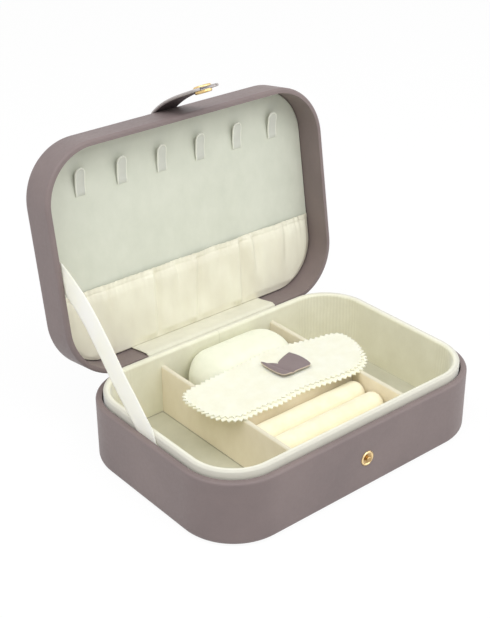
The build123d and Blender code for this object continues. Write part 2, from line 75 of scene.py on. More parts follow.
case_half, case_back, rim_z = limits("base_wrap")[1]
divider_top = limits("left_divider")[1][2]
snap_low, snap_high = limits("snap_stud")
snap_z = snap_low[2] / 2 + snap_high[2] / 2

# ------------ sizes, in millimetres
corner_radius = 34.0        # of the case, seen from above
lid_rim_z = rim_z + 0.4     # with the lid shut
lid_height = 24.3
lid_top_round = 4.6
panel_z = lid_rim_z + 17.5  # face of the lid's panel
bay_inset = 8.6             # of the collar's inner wall from the case's side

pocket_mouth_y = 20.4
pocket_inset = 3.95         # of its sewn edge from the lid's side
pocket_mouth_gap = 2.6
hem_width = 3.2
satin_thickness = 0.3
pleats = [
    # x at the mouth, x at the foot, depth, length as a share of the pocket's
    (-62.0, -60.0, 0.7, 0.5), (-28.0, -31.0, 1.7, 1.35), (-12.4, -12.0, 0.9, 0.5),
    (4.0, -1.0, 1.4, 1.25), (20.0, 19.0, 0.7, 0.5), (37.2, 34.6, 1.7, 1.35),
    (48.6, 48.6, 1.4, 0.7), (74.0, 70.0, 0.8, 0.7),
]

hook_count = 6
hook_pitch = 28.2
hook_row_x = 3.0            # middle of the row
hook_row_y = -34.6          # sewn ends
hook_half_width = 3.4
hook_length = 16.4
hook_foot = 4.5             # length that lies on the panel
hook_stand = 2.9            # of the free end off the panel
hook_thickness = 1.2

ribbon_width = 16.0
ribbon_x = -96.15
ribbon_free_share = 0.86    # part of its length above the gap beside the collar
# y and z of the ribbon's middle line, and of the two edges of its folded foot
ribbon_line = [(84.0, 107.5), (76.8, 107.0), (58.0, 96.0), (41.6, 81.0), (24.5, 63.0),
               (8.2, 47.8), (2.0, 41.0), (1.0, 32.0)]
fold_upper = [(19.0, 53.0), (9.0, 49.3), (-1.0, 44.8), (-8.0, 38.4)]
fold_lower = [(17.5, 51.0), (9.0, 44.5), (2.0, 40.0), (-5.0, 35.5)]
ribbon_thickness = 0.25
strip_thickness = 0.4       # of the velvet over the hinge

strap_width = 17.6
strap_thickness = 1.6
strap_length = 45.8
strap_corner = 3.0
anchor_length = 22.0        # sewn to the lid's top
anchor_wrap = math.radians(60.0)
tip_joins = 16.0            # from the bend to where the strap runs straight

pouch_outline = [
    (-41.5, 27.8), (-26, 28.6), (-8, 29.8), (12, 30.6), (28, 28.8), (44, 25.0), (57, 21.6),
    (62.2, 15.6), (61.6, 4.4), (58.2, -5.6), (52.8, -14.4), (45.6, -19.4), (37.6, -21.4),
    (26, -20.6), (14, -18.6), (4, -17.4), (-6, -17.4), (-18, -18.6), (-31, -17.6), (-44.0, -17.6),
    (-51, -13.2), (-56.2, -4.0), (-57.8, 9.5), (-57.6, 20.0), (-52.8, 27.0),
]
flap_setback = 3.0          # of the upper layer's front edge
flap_width_share = 0.994
tooth_pitch = 3.6
tooth_depth = 1.9
felt_grid = 3.2             # spacing of the points inside the sheet
felt_thickness = 0.8
pouch_z = divider_top + 0.3
lower_felt_z, upper_felt_z = pouch_z + 0.6, pouch_z + 1.45  # middles of the layers
tab_z = pouch_z + 2.95

tab_left, tab_right = -2.0, 21.8
tab_front, tab_back = -0.9, 19.9
tab_notch_x, tab_notch_y = 5.9, 12.3    # between its two points
tab_thickness = 0.75

cushion_low, cushion_high = limits("cushion")
pillow_gap = 0.5            # inside the solid's front and back, under the dividers' tops
pillow_left, pillow_right = -31.4, 34.0
pillow_round = 7.0          # of its rim, from the side
pillow_corner = 12.0        # of its corners, from above
pillow_swell = 5.2          # above the pouch, behind it
swell_from, swell_to = 26, 36   # y where it starts and ends rising
end_slope, end_run = 6.5, 17    # drop at the left end, and over what length

seam_x = 0.0                # butt joint of the collar's lining, at the back


# ------------ geometry helpers
def opened(points):
    """Shut-lid points in millimetres, turned about the hinge to the open stop."""
    points = np.asarray(points, float)
    dy = points[..., 1] - hinge_y
    dz = points[..., 2] - hinge_z
    c, s = math.cos(-open_angle), math.sin(-open_angle)
    result = points.copy()
    result[..., 1] = hinge_y + dy * c - dz * s
    result[..., 2] = hinge_z + dy * s + dz * c
    return result


def smoothstep(low, high, value):
    """Eased step from 0 at low to 1 at high."""
    t = np.clip((value - low) / (high - low), 0, 1)
    return t * t * (3 - 2 * t)


def rough(x, y, z, size, seed=0.0):
    """Smooth noise between -1 and 1 with features of the given size in millimetres."""
    return noise.noise(Vector((x / size + seed, y / size - seed, z / size + 2 * seed)))


def curve_through(points, count, closed=False):
    """Evenly spaced points on a smooth line through the given ones, and its length."""
    pts = np.array(points, float)
    n = len(pts)
    line = []
    steps_a_span = 24
    for i in range(n if closed else n - 1):
        near = [(i + k) % n if closed else min(max(i + k, 0), n - 1) for k in (-1, 0, 1, 2)]
        a, b, c, d = pts[near]
        for t in np.linspace(0, 1, steps_a_span, endpoint=False):
            line.append(0.5 * (2 * b + (c - a) * t + (2 * a - 5 * b + 4 * c - d) * t * t
                               + (3 * b - a - 3 * c + d) * t ** 3))
    line.append(pts[0] if closed else pts[-1])
    line = np.array(line)
    along = np.concatenate([[0], np.cumsum(np.linalg.norm(np.diff(line, axis=0), axis=1))])
    stations = np.linspace(0, along[-1], count, endpoint=not closed)
    even = np.stack([np.interp(stations, along, line[:, k]) for k in range(line.shape[1])], -1)
    return even, along[-1]


def turned(vector, angle):
    """A flat vector turned by an angle."""
    across, up = vector
    c, s = math.cos(angle), math.sin(angle)
    return np.array([across * c - up * s, across * s + up * c])


def unit(vectors):
    return vectors / np.linalg.norm(vectors, axis=1)[:, None]


def beside(ways):
    """Directions a quarter turn to the right of the given ones."""
    return np.stack([ways[:, 1], -ways[:, 0]], -1)


def rounded_end(full, corner, to_end, least=0.0):
    """Half width at a distance from an end whose corners are rounded."""
    if to_end >= corner:
        return full
    return full - corner + math.sqrt(max(corner ** 2 - (corner - to_end) ** 2, least))


def new_object(name, data):
    obj = bpy.data.objects.new(name, data)
    bpy.context.scene.collection.objects.link(obj)
    return obj


def add_object(name, vertices, faces, materials):
    mesh = bpy.data.meshes.new(name)
    mesh.from_pydata([tuple(v) for v in np.asarray(vertices, float) * MM], [], faces)
    mesh.polygons.foreach_set("use_smooth", [True] * len(mesh.polygons))
    mesh.validate()
    obj = new_object(name, mesh)
    for material in materials:
        mesh.materials.append(material)
    return obj


def grid_faces(rows, columns, wrap=False):
    """Faces between rows of points, the last column joined to the first to wrap."""
    faces = []
    across = columns if wrap else columns - 1
    for j in range(rows - 1):
        for i in range(across):
            k = (i + 1) % columns
            faces.append((j * columns + i, j * columns + k, (j + 1) * columns + k,
                          (j + 1) * columns + i))
    return faces


def tube_faces(rows, columns, clockwise=False):
    """Faces of a tube with capped ends, its rings running either way round."""
    first = tuple(range(columns))
    last = tuple(range((rows - 1) * columns, rows * columns))
    caps = [first, last[::-1]] if clockwise else [first[::-1], last]
    return grid_faces(rows, columns, wrap=True) + caps


def points_of(place, down, across):
    """Rows of points: place(v, u) for each v down a sheet and each u across it."""
    return np.array([[place(v, u) for u in across] for v in down], float)


def grid_object(name, points, materials):
    """A sheet from an array of rows of points."""
    rows, columns = points.shape[:2]
    return add_object(name, points.reshape(-1, 3), grid_faces(rows, columns), materials)


def thicken(obj, thickness, rim_material=0, even=True):
    """Gives a sheet its thickness, half to each side."""
    solid = obj.modifiers.new("thickness", "SOLIDIFY")
    solid.thickness = thickness * MM
    solid.offset = 0.0
    solid.use_even_offset = even
    solid.material_offset_rim = rim_material


def keep_edges_sharp(obj, angle):
    """Applies the thickness, and shades the cut edge apart from the faces."""
    bpy.context.view_layer.update()
    whole = obj.evaluated_get(bpy.context.evaluated_depsgraph_get())
    mesh = bpy.data.meshes.new_from_object(whole)
    obj.modifiers.clear()
    obj.data = mesh
    mesh.set_sharp_from_angle(angle=math.radians(angle))


def subdivide(obj):
    smooth = obj.modifiers.new("smooth", "SUBSURF")
    smooth.levels = 1
    smooth.render_levels = 1


# ------------ materials
def colour(red, green, blue):
    """Colour as seen on a screen, 0 to 255, as the shader wants it."""
    def linear(value):
        value = value / 255
        return value / 12.92 if value <= 0.04045 else ((value + 0.055) / 1.055) ** 2.4
    return (linear(red), linear(green), linear(blue), 1.0)


def set_inputs(node, **values):
    """Constants on a node's sockets, with _ for a space in a socket's name."""
    for name, value in values.items():
        node.inputs[name.replace("_", " ")].default_value = value


class Finish:
    """A material with object-space texture coordinates and one shader."""

    def __init__(self, name, roughness, specular=0.5, metallic=0.0):
        self.material = bpy.data.materials.new(name)
        self.material.use_nodes = True
        self.tree = self.material.node_tree
        self.shader = self.tree.nodes["Principled BSDF"]
        set_inputs(self.shader, Roughness=roughness, Specular_IOR_Level=specular,
                   Metallic=metallic)
        self.place = self.node("ShaderNodeTexCoord").outputs["Object"]

    def node(self, kind, **settings):
        node = self.tree.nodes.new(kind)
        for key, value in settings.items():
            setattr(node, key, value)
        return node

    def link(self, source, target):
        self.tree.links.new(source, target)

    def sheen(self, weight, roughness, tint):
        set_inputs(self.shader, Sheen_Weight=weight, Sheen_Roughness=roughness, Sheen_Tint=tint)

    def axes(self):
        """The place's x, y and z, in metres."""
        split = self.node("ShaderNodeSeparateXYZ")
        self.link(self.place, split.inputs["Vector"])
        return split.outputs

    def stretched(self, x, y, z):
        """Texture place for features that are longer along the axes below 1."""
        mapping = self.node("ShaderNodeMapping")
        set_inputs(mapping, Scale=(x, y, z))
        self.link(self.place, mapping.inputs["Vector"])
        return mapping.outputs["Vector"]

    def noise(self, size, detail=3.0, rough_share=0.55, place=None):
        """Noise with features of about size millimetres."""
        texture = self.node("ShaderNodeTexNoise")
        set_inputs(texture, Scale=1 / (size * MM), Detail=detail, Roughness=rough_share)
        self.link(place or self.place, texture.inputs["Vector"])
        return texture.outputs["Fac"]

    def cells(self, size):
        """Pebbled grain with cells of about size millimetres."""
        texture = self.node("ShaderNodeTexVoronoi")
        set_inputs(texture, Scale=1 / (size * MM))
        self.link(self.place, texture.inputs["Vector"])
        return texture.outputs["Distance"]

    def spread(self, value, low, high, to_low=0.0, to_high=1.0):
        """The value from low to high, carried over to another range and held inside it."""
        ramp = self.node("ShaderNodeMapRange")
        set_inputs(ramp, From_Min=low, From_Max=high, To_Min=to_low, To_Max=to_high)
        self.link(value, ramp.inputs["Value"])
        return ramp.outputs["Result"]

    def band(self, length, low, high, to_low=0.0, to_high=1.0):
        """As spread, with low and high in millimetres."""
        return self.spread(length, low * MM, high * MM, to_low, to_high)

    def maths(self, operation, first, second=0.0):
        node = self.node("ShaderNodeMath", operation=operation)
        for socket, value in zip(node.inputs, (first, second)):
            if isinstance(value, (int, float)):
                socket.default_value = value
            else:
                self.link(value, socket)
        return node.outputs[0]

    def product(self, first, second):
        return self.maths("MULTIPLY", first, second)

    def distance_to(self, coordinate, place):
        """Distance of a coordinate from a place in millimetres."""
        return self.maths("ABSOLUTE", self.maths("SUBTRACT", coordinate, place * MM))

    def length(self, across, up):
        """Length of a flat vector from its two parts."""
        squares = [self.product(part, part) for part in (across, up)]
        return self.maths("SQRT", self.maths("ADD", *squares))

    def blend_colours(self, factor, first, second):
        mix = self.node("ShaderNodeMix", data_type="RGBA")
        self.link(factor, mix.inputs[0])
        for socket, value in zip(mix.inputs[6:8], (first, second)):
            if isinstance(value, tuple):
                socket.default_value = value
            else:
                self.link(value, socket)
        return mix.outputs[2]

    def mottle(self, noise, low, high, dark, light):
        """Follows the noise from low to high between two colours as seen on a screen."""
        return self.blend_colours(self.spread(noise, low, high), colour(*dark), colour(*light))

    def paint(self, source):
        self.link(source, self.shader.inputs["Base Color"])

    def bump(self, height, distance, strength=1.0):
        """Adds relief of distance millimetres on top of what is there."""
        bump = self.node("ShaderNodeBump")
        set_inputs(bump, Distance=distance * MM, Strength=strength)
        normal = self.shader.inputs["Normal"]
        if normal.links:
            self.link(normal.links[0].from_socket, bump.inputs["Normal"])
        self.link(height, bump.inputs["Height"])
        self.link(bump.outputs["Normal"], normal)


def make_leatherette(name, dark, light):
    """Coated leather cloth: faint clouds, fine pebbled grain, uneven gloss."""
    finish = Finish(name, roughness=0.46, specular=0.45)
    finish.sheen(weight=0.05, roughness=0.5, tint=(0.9, 0.85, 0.85, 1))
    finish.paint(finish.mottle(finish.noise(size=38, detail=4), 0.3, 0.7, dark, light))
    finish.bump(finish.cells(size=0.8), distance=0.05, strength=0.5)
    finish.bump(finish.noise(size=0.35, detail=2), distance=0.02, strength=0.5)
    gloss = finish.spread(finish.noise(size=2.0, detail=2), 0.3, 0.7, 0.48, 0.60)
    finish.link(gloss, finish.shader.inputs["Roughness"])
    return finish.material


def make_suede(name, dark, light, add_details=None, sheen=(0.25, 0.6, (1, 1, 0.95, 1))):
    """Brushed suede or velvet, with what add_details draws on it."""
    finish = Finish(name, roughness=0.92, specular=0.15)
    finish.sheen(*sheen)
    brushed = finish.noise(size=12, detail=5, rough_share=0.62,
                           place=finish.stretched(1, 1, 0.7))
    tone = finish.mottle(brushed, 0.25, 0.75, dark, light)
    finish.bump(finish.noise(size=0.25, detail=3), distance=0.05, strength=0.6)
    nap = finish.noise(size=2.2, detail=4, rough_share=0.65, place=finish.stretched(1, 1, 0.6))
    finish.bump(nap, distance=0.05, strength=0.4)
    if add_details:
        tone = add_details(finish, tone)
    finish.paint(tone)
    return finish.material


def add_lining_lines(finish, tone):
    """Creases where the lining turns a corner, with painted shade in them; a painted highlight
    along the rim's top and painted shade on its outer face; and its butt joint.
    """
    x, y, _ = finish.axes()
    from_x, from_y = (
        finish.maths("SUBTRACT", finish.maths("ABSOLUTE", axis), (side - corner_radius) * MM)
        for axis, side in ((x, case_half), (y, case_back)))
    radius = finish.length(finish.maths("MAXIMUM", from_x, 0.0),
                           finish.maths("MAXIMUM", from_y, 0.0))
    bay_radius = corner_radius - bay_inset

    creases_a_radian = 74.0
    angle = finish.maths("ARCTAN2", from_y, from_x)
    wobble = finish.product(finish.noise(size=14, detail=2), 0.10)
    angle = finish.maths("ADD", angle, wobble)
    wave = finish.maths("SINE", finish.product(angle, creases_a_radian))
    in_corner = finish.product(finish.band(from_x, -4, 2), finish.band(from_y, -4, 2))
    facing_in = finish.band(radius, bay_radius + 0.2, bay_radius + 0.9, 1.0, 0.0)
    creases = finish.product(wave, finish.product(in_corner, facing_in))
    finish.bump(creases, distance=0.05, strength=0.5)
    # painted shade in the creases' hollows
    shade = finish.spread(creases, -1, 1, 0.0, 0.10)
    tone = finish.blend_colours(shade, tone, colour(176, 172, 146))

    # painted highlight along the top of the rim, weaker at the back
    rim_highlight = finish.band(radius, bay_radius + 0.4, bay_radius + 2.4, 0.0, 0.55)
    highlight_less_at_back = finish.band(y, case_back - 16, case_back - 8, 1.0, 0.2)
    tone = finish.blend_colours(finish.product(rim_highlight, highlight_less_at_back), tone,
                                colour(236, 235, 229))
    # painted shade on the rim's outer face
    outside = finish.band(radius, bay_radius + 1.8, bay_radius + 3.0, 0.0, 0.6)
    tone = finish.blend_colours(outside, tone, colour(203, 200, 187))

    line = finish.band(finish.distance_to(x, seam_x), 0.15, 0.45, 1.0, 0.0)
    line = finish.product(line, finish.band(y, case_back - 12, case_back - 9))
    finish.bump(line, distance=-0.1, strength=0.5)
    return finish.blend_colours(finish.product(line, 0.14), tone, colour(150, 148, 125))


def add_tray_corner_shade(finish, tone):
    """Painted shade where a tray's floor meets its divider and the back wall."""
    x, y, _ = finish.axes()
    left_edge, back_edge = limits("floor_pad_left")[1][:2]
    right_edge = limits("floor_pad_right")[0][0]
    nearest = 1.0
    for axis, edge in ((x, left_edge), (x, right_edge), (y, back_edge)):
        nearest = finish.maths("MINIMUM", finish.distance_to(axis, edge), nearest)
    # painted shade along the floor's edges, darkest in the corner
    line = finish.band(nearest, 0.3, 1.1, 0.55, 0.0)
    return finish.blend_colours(line, tone, colour(104, 96, 72))


def add_dull_tops(finish, tone):
    """Duller suede where it is turned over the dividers' top edges."""
    _, _, z = finish.axes()
    at_top = finish.band(z, divider_top - 1.0, divider_top - 0.3, 0.0, 0.85)
    return finish.blend_colours(at_top, tone, colour(219, 214, 193))


def make_satin(name, dark, light, roughness, sheen=(0.2, 0.35)):
    """Satin with fine threads and soft, long unevenness."""
    weave = 0.35                # about half the threads' spacing
    finish = Finish(name, roughness=roughness, specular=0.45)
    finish.sheen(*sheen, (1, 0.98, 0.9, 1))
    drawn_out = finish.stretched(1, 0.5, 0.5)
    cloud = finish.noise(size=16, detail=3, rough_share=0.5, place=drawn_out)
    finish.paint(finish.mottle(cloud, 0.3, 0.7, dark, light))
    threads = finish.node("ShaderNodeTexWave", bands_direction="X")
    set_inputs(threads, Scale=1 / (weave * MM) / FULL_TURN)
    finish.link(finish.place, threads.inputs["Vector"])
    finish.bump(threads.outputs["Fac"], distance=0.008, strength=0.4)
    uneven = finish.noise(size=6.0, detail=3, rough_share=0.5, place=drawn_out)
    finish.bump(uneven, distance=0.10, strength=0.25)
    return finish.material


def let_light_through(material, depth):
    """Lets a thin cloth glow with the light on its far side."""
    set_inputs(material.node_tree.nodes["Principled BSDF"], Subsurface_Weight=1.0,
               Subsurface_Radius=(1.0, 1.0, 0.9), Subsurface_Scale=depth * MM)


def make_felt(name, dark, light):
    """Felt, velour or another soft cloth with short fibres."""
    finish = Finish(name, roughness=0.95, specular=0.1)
    finish.sheen(weight=0.35, roughness=0.5, tint=(1, 1, 0.97, 1))
    cloud = finish.noise(size=7, detail=5, rough_share=0.65)
    finish.paint(finish.mottle(cloud, 0.3, 0.7, dark, light))
    finish.bump(finish.noise(size=0.5, detail=5, rough_share=0.7), distance=0.10, strength=0.7)
    finish.bump(finish.noise(size=2.5, detail=3), distance=0.08, strength=0.4)
    return finish.material


def metal_finish(name, tone, roughness):
    """Metal with slightly worn colour; the caller may add to it."""
    finish = Finish(name, roughness=roughness, metallic=1.0)
    darker = tuple(value * 0.82 for value in tone[:3]) + (1.0,)
    worn = finish.spread(finish.noise(size=1.2, detail=3), 0.3, 0.7)
    finish.paint(finish.blend_colours(worn, darker, tone))
    finish.bump(finish.noise(size=0.4, detail=2), distance=0.01, strength=0.3)
    return finish


def make_stud_brass(name, tone, roughness):
    """Brass with a turned bead about the stud's own axis, and painted shade over its middle inside
    the bead.
    """
    finish = metal_finish(name, tone, roughness)
    x, _, z = finish.axes()
    away = finish.length(x, finish.maths("SUBTRACT", z, snap_z * MM))   # from the stud's axis
    bead = finish.product(finish.band(away, 2.9, 3.5), finish.band(away, 4.0, 4.5, 1.0, 0.0))
    finish.bump(bead, distance=0.5)
    # painted shade over the stud's middle
    centre_shade = finish.band(away, 2.6, 3.2, 1.0, 0.0)
    finish.paint(finish.blend_colours(finish.product(centre_shade, 0.75), tone, (0.34, 0.20, 0.07, 1)))
    return finish.material


leatherette = make_leatherette("leatherette", (123, 110, 109), (133, 119, 117))
# the strap's inside is the same leatherette, darkened with painted shade as it faces down
strap_underside_shade = make_leatherette("strap_underside_shade", (72, 56, 59), (82, 65, 68))
tab_leather = make_leatherette("tab_leather", (126, 112, 114), (138, 124, 125))
edge_paint = make_leatherette("edge_paint", (176, 168, 166), (190, 184, 182))
raw_edge = make_suede("raw_edge", (188, 172, 153), (210, 198, 180))
board = make_suede("greyboard", (150, 146, 138), (162, 158, 150))
collar_suede = make_suede("collar_suede", (232, 230, 208), (243, 242, 222),
                          add_lining_lines, sheen=(0.9, 0.35, (0.95, 0.97, 1, 1)))
divider_suede = make_suede("divider_suede", (236, 224, 197), (246, 236, 212), add_dull_tops)
floor_suede = make_suede("floor_suede", (193, 191, 170), (206, 204, 184), add_tray_corner_shade)
# the hooks' middle is darker and their piping lighter: partly the suede's own tones, partly
# painted shade in the sunken middle and painted highlight on the piping
hook_suede = make_suede("hook_suede", (202, 204, 195), (214, 216, 206))
hook_piping = make_suede("hook_piping", (228, 230, 217), (240, 241, 229))
velvet = make_suede("panel_velvet", (210, 214, 199), (220, 223, 209))
strip_cloth = make_suede("strip_velvet", (218, 216, 197), (230, 228, 210))
satin = make_satin("pocket_satin", (231, 227, 207), (243, 241, 222), 0.42)
ribbon_satin = make_satin("ribbon_satin", (255, 252, 221), (255, 255, 240), 0.36, (1.0, 0.7))
let_light_through(ribbon_satin, 0.4)
felt = make_felt("pouch_felt", (245, 241, 212), (251, 248, 223))
let_light_through(felt, 1.5)
pillow_cloth = make_felt("pillow_cloth", (235, 237, 216), (242, 243, 223))
roll_velour = make_felt("roll_velour", (244, 235, 203), (249, 243, 217))
brass = metal_finish("brass", (0.92, 0.66, 0.30, 1), 0.24).material
stud_brass = make_stud_brass("stud_brass", (0.95, 0.72, 0.38, 1), 0.28)
steel = metal_finish("hinge_steel", (0.72, 0.70, 0.66, 1), 0.35).material

for material, node_names in (
        (leatherette, "base_wrap base_bottom_panel lid_wrap"),
        (board, "base_board lid_board collar_board lid_panel_pad"),
        (collar_suede, "collar_lining"),
        (velvet, "lid_panel"),
        (divider_suede, "left_divider right_divider cross_divider"),
        (roll_velour, "ring_roll_bed"),
        (floor_suede, "floor_pad_left floor_pad_right floor_pad_rear"),
        (stud_brass, "snap_stud"),
        (brass, "snap_stud_washer snap_cap snap_socket"),
        (steel, "hinge_base_leaf hinge_lid_leaf hinge_pin hinge_base_screws hinge_lid_screws")):
    for node_name in node_names.split():
        node_mesh = frame["nodes"][node_name].data
        node_mesh.materials.clear()
        node_mesh.materials.append(material)


# ------------ lid pocket
def pocket_reach(y):
    """Half of the pocket's width at a depth y on the shut lid."""
    radius = corner_radius - pocket_inset
    turn_y = case_back - corner_radius
    over = np.clip(y - turn_y, 0, radius)
    return case_half - corner_radius + np.sqrt(np.maximum(radius ** 2 - over ** 2, 0))


def pocket_height(x, y, share_x, share_y):
    """How far the satin stands off the panel."""
    depth = y - pocket_mouth_y
    sewn = smoothstep(0.0, 5.0, (1 - abs(share_x)) * case_half)
    foot = smoothstep(0.0, 0.12, 1 - share_y)
    billow = 0.45 + 0.55 * smoothstep(0.0, 9.0, depth)
    height = 0.35 + pocket_mouth_gap * billow * (1 - 0.55 * share_y) * sewn * foot
    # each pleat is a crest that is steep to its right, and a valley beside it
    crest_x, valley_x = -1.3, 1.9
    for mouth_x, foot_x, fold, length in pleats:
        away = x - (mouth_x + (foot_x - mouth_x) * share_y)
        fade = smoothstep(length, length - 0.35, share_y) * foot * sewn
        fade *= smoothstep(0.0, 1.6 * hem_width, depth)
        crest = math.exp(-((away - crest_x) / (4.2 if away < crest_x else 1.5)) ** 2)
        valley = math.exp(-((away - valley_x) / (1.3 if away < valley_x else 3.0)) ** 2)
        height += fold * fade * (crest - 0.6 * valley)
    # gathers die away below the mouth
    gather = 0.22 * math.sin(x / 3.3 * FULL_TURN + 2 * rough(x, 0, 0, 14)) \
        + 0.18 * math.sin(x / 5.1 * FULL_TURN + 1.0)
    height += gather * (0.35 + 0.65 * (1 + rough(x, 0, 3, 9))) * math.exp(-depth / 5.5) * sewn
    for wrinkle, size, seed in ((1.4, 14, 1.7), (0.35, 6.5, 3.1)):
        height += wrinkle * rough(x, y * 0.5, 0, size, seed) * foot * sewn
    hem = 1 - smoothstep(hem_width - 0.8, hem_width, depth)
    stitches = math.exp(-((depth - hem_width) / 0.5) ** 2)
    return max(height + 0.2 * hem - 0.18 * stitches, 0.3)


def make_pocket():
    """Gathered satin across the lid, its rows closer together near the mouth."""
    columns, rows = 300, 72
    foot_y = case_back - pocket_inset

    def place(share_y, share_x):
        y = pocket_mouth_y + (foot_y - pocket_mouth_y) * share_y
        x = share_x * pocket_reach(y)
        sway = 0.12 * rough(x, 0, 7, 6) * math.exp(-share_y * 8)
        return x, y + sway, panel_z - pocket_height(x, y, share_x, share_y)

    points = points_of(place, np.linspace(0, 1, rows) ** 1.25, np.linspace(-1, 1, columns))
    obj = grid_object("pocket_satin_front", opened(points), [satin])
    thicken(obj, satin_thickness, even=False)
    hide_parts("pocket_front", "pocket_hem")
    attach(obj, "lid_body")


# ------------ necklace hooks
def make_hook(number):
    """Stiffened suede tab, sewn at its foot, with a piped edge and a free rounded end."""
    middle_x = hook_row_x + (number - (hook_count - 1) / 2) * hook_pitch
    columns, rows = 13, 30
    lean = 0.25 * rough(number * 7.0, 0, 0, 3.0)

    def place(along, across):
        run = hook_length * (1 - (1 - along) ** 1.35)
        to_end = hook_length - run
        half = rounded_end(hook_half_width, hook_half_width, to_end, least=0.02)
        lift = max(run - hook_foot, 0) / (hook_length - hook_foot)
        edge = abs(across) ** 6 + math.exp(-to_end / 0.6)
        pipe = 0.45 * min(edge, 1.0) - 0.2 * (1 - across ** 2)
        stand = hook_stand * lift ** 1.25 + lean * across * lift
        foot = hook_thickness * 0.55 * (1 - smoothstep(0, 2.2, run))
        z = panel_z - hook_thickness * 0.6 - stand - pipe + foot
        return middle_x + across * half, hook_row_y - run, z

    points = points_of(place, np.linspace(0, 1, rows), np.linspace(-1, 1, columns))
    obj = grid_object(f"hook_tab_{number + 1}", opened(points), [hook_suede, hook_piping])
    # middle faces take the darker suede, partly painted shade; side and end faces take the lighter
    # piping
    middle_columns = (5, 6)
    for face in obj.data.polygons:
        row, column = divmod(face.index, columns - 1)
        at_side = column in (0, columns - 2)
        at_end = row > rows - 4 and column not in middle_columns
        face.material_index = 1 if at_side or at_end else 0
    thicken(obj, hook_thickness * 0.8)
    subdivide(obj)
    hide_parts(f"necklace_hook_{number + 1}")
    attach(obj, "lid_body")


# ------------ ribbon stay
def make_ribbon(fold):
    """Satin ribbon pulled tight between the lid's wall and the gap beside the collar."""
    rows, columns = 90, 13
    line, length = curve_through(ribbon_line, rows)
    ways = unit(np.gradient(line, axis=0))

    def place(row, across):
        (y, z), (way_y, way_z) = line[row], ways[row]
        share = row / (rows - 1)
        free = math.sin(math.pi * min(share / ribbon_free_share, 1.0))
        off = across * ribbon_width
        bow = 0.9 * free * (4 * across ** 2 - 0.6) + 0.5 * free * across
        bow += 0.12 * rough(off, share * 90, 0, 9)
        return ribbon_x + 0.15 + bow, y + off * way_z, z - off * way_y

    points = points_of(place, range(rows), np.linspace(-0.5, 0.5, columns))
    obj = grid_object("ribbon_stay_satin", points, [ribbon_satin])
    thicken(obj, ribbon_thickness)
    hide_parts("ribbon_stay")
    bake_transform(obj)


def make_ribbon_fold():
    """The ribbon's foot, folded over once before it goes into the gap."""
    rows, columns = 24, 6
    upper, _ = curve_through(fold_upper, rows)
    lower, _ = curve_through(fold_lower, rows)

    def place(row, share):
        y, z = upper[row] * (1 - share) + lower[row] * share
        bulge = 0.25 * math.sin(share * 3.1)
        return ribbon_x + 0.75 - 0.5 * row / rows + bulge, y, z

    points = points_of(place, range(rows), np.linspace(0, 1, columns))
    obj = grid_object("ribbon_stay_fold", points, [ribbon_satin])
    thicken(obj, ribbon_thickness)
    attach(obj, "base_body")
    return obj


# ------------ hinge strip
def make_hinge_strip():
    """Velvet strip from the lid's panel over the hinge and down behind the collar."""
    tuck_low, tuck_high = limits("hinge_strip_fold")
    half = tuck_high[0]
    lid_y = hinge_y - 1.95      # of the strip on the shut lid's back wall
    lid_face = opened([[0, lid_y, panel_z - 0.5], [0, lid_y, hinge_z + 3.0]])
    back = tuck_low[1] + 0.6
    line = [(lid_face[0][1], lid_face[0][2] + 0.1), (lid_face[1][1], lid_face[1][2] + 0.35),
            (hinge_y + 0.6, hinge_z + 2.3), (hinge_y - 1.2, hinge_z + 1.75),
            (back + 0.5, hinge_z + 1.6), (back, hinge_z - 0.6), (back, tuck_low[2])]
    rows, columns = 64, 80
    path, length = curve_through(line, rows)

    def place(row, x):
        y, z = path[row]
        in_sight = smoothstep(0, 12, row) * smoothstep(46, 34, row)
        swell = 0.22 * rough(x, row * 0.7, 0, 16, 5.0) + 0.1 * rough(x, row * 0.7, 0, 5, 2.0)
        return x, y, z + swell * in_sight

    points = points_of(place, range(rows), np.linspace(-half, half, columns))
    obj = grid_object("hinge_strip_velvet", points, [strip_cloth])
    thicken(obj, strip_thickness)
    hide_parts("hinge_strip_lid", "hinge_strip_fold")
    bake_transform(obj)


# ------------ strap
swing_axis = np.array(joints["strap_swing"]["pos_m"][1:]) / MM
bend_axis = np.array(joints["strap_bend"]["pos_m"][1:]) / MM
root_length = np.linalg.norm(bend_axis - swing_axis)
root_way = (bend_axis - swing_axis) / root_length
rest_bend = math.radians(joints["strap_bend"]["range_deg"][0])
end_way = turned(root_way, -rest_bend)


def strap_path():
    """Middle line of the strap from its sewn end to its tip, and how many points are sewn."""
    lid_top = lid_rim_z + lid_height
    radius = lid_top_round + 0.1 + strap_thickness / 2
    centre = np.array([-case_back + lid_top_round, lid_top - lid_top_round])
    flat = [(centre[0] + s, centre[1] + radius) for s in np.linspace(anchor_length, 0.5, 12)]
    turn = [(centre[0] - radius * math.sin(a), centre[1] + radius * math.cos(a))
            for a in np.linspace(0, anchor_wrap, 8)]
    shut = np.array([(0.0, y, z) for y, z in flat + turn])
    lead = opened(shut)[:, 1:]
    start = lead[-1]
    start_way = (lead[-1] - lead[-2]) / np.linalg.norm(lead[-1] - lead[-2])
    joined = bend_axis + end_way * tip_joins
    span = np.linalg.norm(joined - start)
    free = []
    for t in np.linspace(0, 1, 26)[1:]:
        h00, h10 = 2 * t ** 3 - 3 * t ** 2 + 1, t ** 3 - 2 * t ** 2 + t
        h01, h11 = -2 * t ** 3 + 3 * t ** 2, t ** 3 - t ** 2
        free.append(h00 * start + h10 * span * start_way + h01 * joined + h11 * span * end_way)
    tip_run = strap_length - root_length - tip_joins
    steps = 1 - (1 - np.linspace(0, 1, 14)[1:]) ** 1.7
    tip = [joined + end_way * tip_run * s for s in steps]
    return np.array(list(lead) + free + tip), len(lead)


